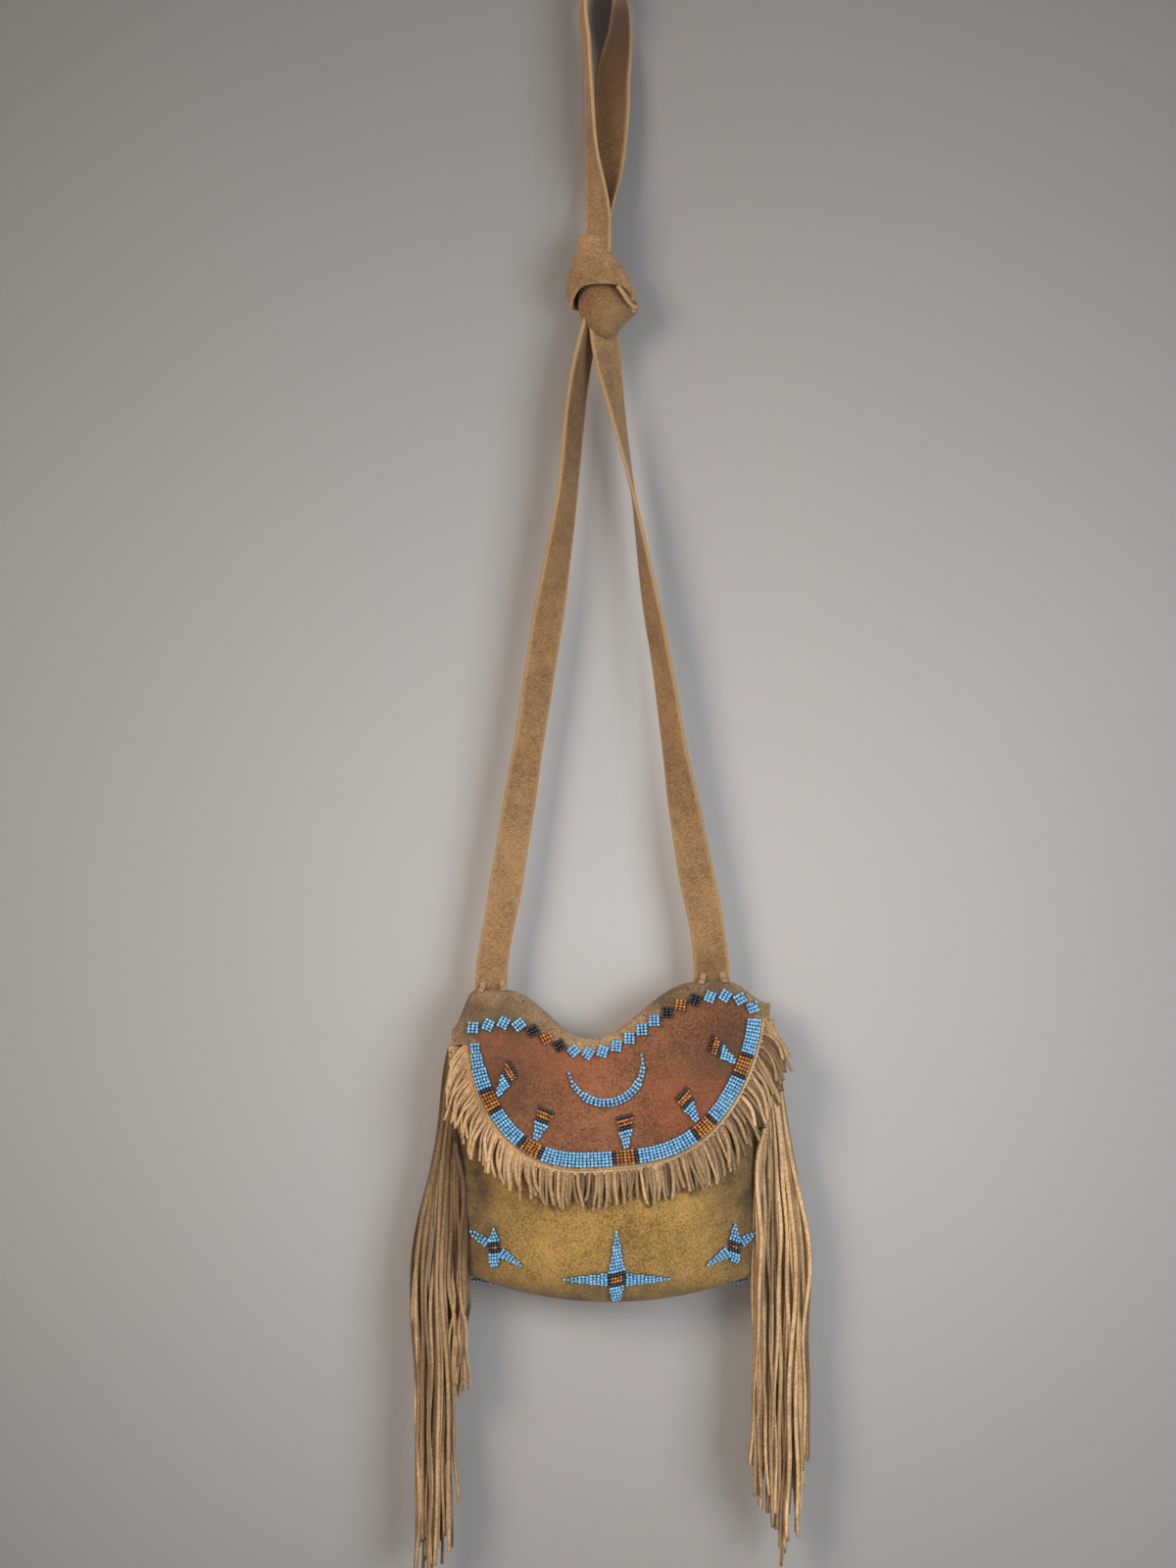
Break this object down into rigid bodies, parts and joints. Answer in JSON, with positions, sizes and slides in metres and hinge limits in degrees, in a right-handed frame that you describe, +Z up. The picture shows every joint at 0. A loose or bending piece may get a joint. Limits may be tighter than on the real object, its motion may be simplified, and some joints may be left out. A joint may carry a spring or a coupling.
{
  "type": "beaded shoulder bag",
  "caption": "Soft hide shoulder bag hanging by its knotted strap, with a folded-over flap, long side fringes, a fringed flap edge and lane-stitched beadwork.",
  "frame": {"origin": "inside top of the strap's hanging loop, where a peg holds it", "axes": "+Z up along the hang, +X to the right seen from the front, -Y is the beaded front"},
  "size_m": [0.2365, 0.0447, 0.9675],
  "materials": {
    "hide_red": "soft suede nap",
    "hide_ochre": "soft suede nap",
    "hide_tan": "soft suede nap",
    "hide_strap": "soft suede nap",
    "hide_lace": "soft suede nap",
    "beads_blue": "glossy",
    "beads_black": "glossy",
    "beads_amber": "glossy"
  },
  "bodies": {
    "root": {"back_and_flap": "hide_red", "front_panel": "hide_ochre", "flap_fringe": "hide_tan", "left_side_fringe": "hide_tan", "right_side_fringe": "hide_tan", "shoulder_strap": "hide_strap", "left_strap_lacing": "hide_lace", "right_strap_lacing": "hide_lace", "border_block_1": "beads_amber", "border_block_2": "beads_amber", "border_block_3": "beads_amber", "border_block_4": "beads_amber", "border_block_5": "beads_amber", "border_lane_1": "beads_blue", "border_lane_2": "beads_blue", "border_lane_3": "beads_blue", "border_lane_4": "beads_blue", "border_lane_5": "beads_blue", "border_lane_6": "beads_blue", "wedge_1": "beads_blue", "wedge_head_1": "beads_amber", "wedge_2": "beads_blue", "wedge_head_2": "beads_amber", "wedge_3": "beads_blue", "wedge_head_3": "beads_amber", "wedge_4": "beads_blue", "wedge_head_4": "beads_amber", "wedge_5": "beads_blue", "wedge_head_5": "beads_amber", "diamond_01": "beads_blue", "diamond_02": "beads_blue", "diamond_03": "beads_blue", "diamond_04": "beads_blue", "diamond_05": "beads_black", "diamond_06": "beads_amber", "diamond_07": "beads_black", "diamond_08": "beads_blue", "diamond_09": "beads_blue", "diamond_10": "beads_blue", "diamond_11": "beads_blue", "diamond_12": "beads_blue", "diamond_13": "beads_blue", "diamond_14": "beads_blue", "diamond_15": "beads_black", "diamond_16": "beads_amber", "diamond_17": "beads_black", "diamond_18": "beads_blue", "diamond_19": "beads_blue", "diamond_20": "beads_blue", "diamond_21": "beads_blue", "crescent": "beads_blue", "centre_star": "beads_blue", "left_star": "beads_blue", "right_star": "beads_blue", "bottom_edge_beads": "beads_blue"}
  },
  "joints": []
}
